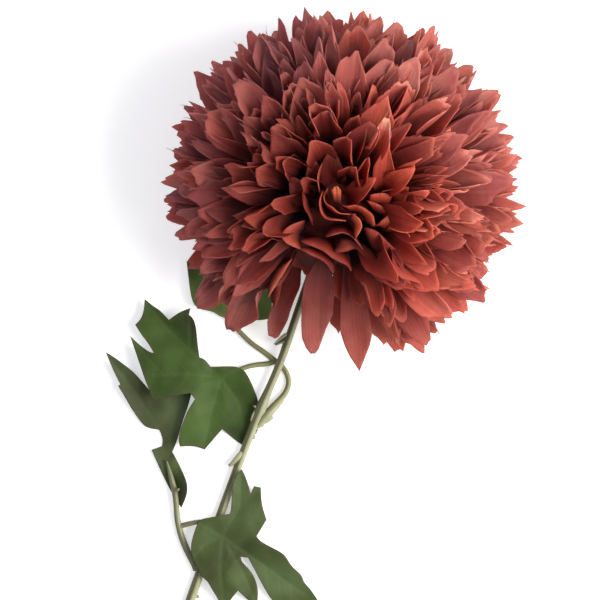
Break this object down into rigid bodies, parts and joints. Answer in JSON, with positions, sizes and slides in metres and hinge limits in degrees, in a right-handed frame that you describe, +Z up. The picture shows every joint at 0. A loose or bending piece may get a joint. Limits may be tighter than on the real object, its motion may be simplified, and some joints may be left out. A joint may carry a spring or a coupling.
{
  "type": "artificial ball chrysanthemum on a leafy stem",
  "caption": "Single artificial ball chrysanthemum with layered fabric petals, a moulded stem with side shoots and lobed leaves, laid down on a surface.",
  "frame": {"origin": "on the surface that the flower lies on, below the middle of its overall box", "axes": "+Z up from the surface, +Y from the stem's cut end towards the bloom, +X to the bloom's right as seen from above with the stem pointing to the viewer"},
  "size_m": [0.2122, 0.4468, 0.0891],
  "materials": {
    "petals": "dusty russet red fabric, matte, darker towards the roots",
    "calyx": "green moulded plastic",
    "stem": "olive green moulded plastic with a soft sheen",
    "side_shoot": "olive green moulded plastic",
    "side_branch": "olive green moulded plastic",
    "leaves": "deep green printed fabric with a light gloss and raised veins"
  },
  "bodies": {
    "root": {"bloom": "petals", "calyx": "calyx", "stem": "stem", "side_shoot": "side_shoot", "side_branch": "side_branch", "leaf_upper": "leaves", "leaf_hidden": "leaves", "leaf_side": "leaves", "leaf_lower": "leaves"}
  },
  "joints": []
}
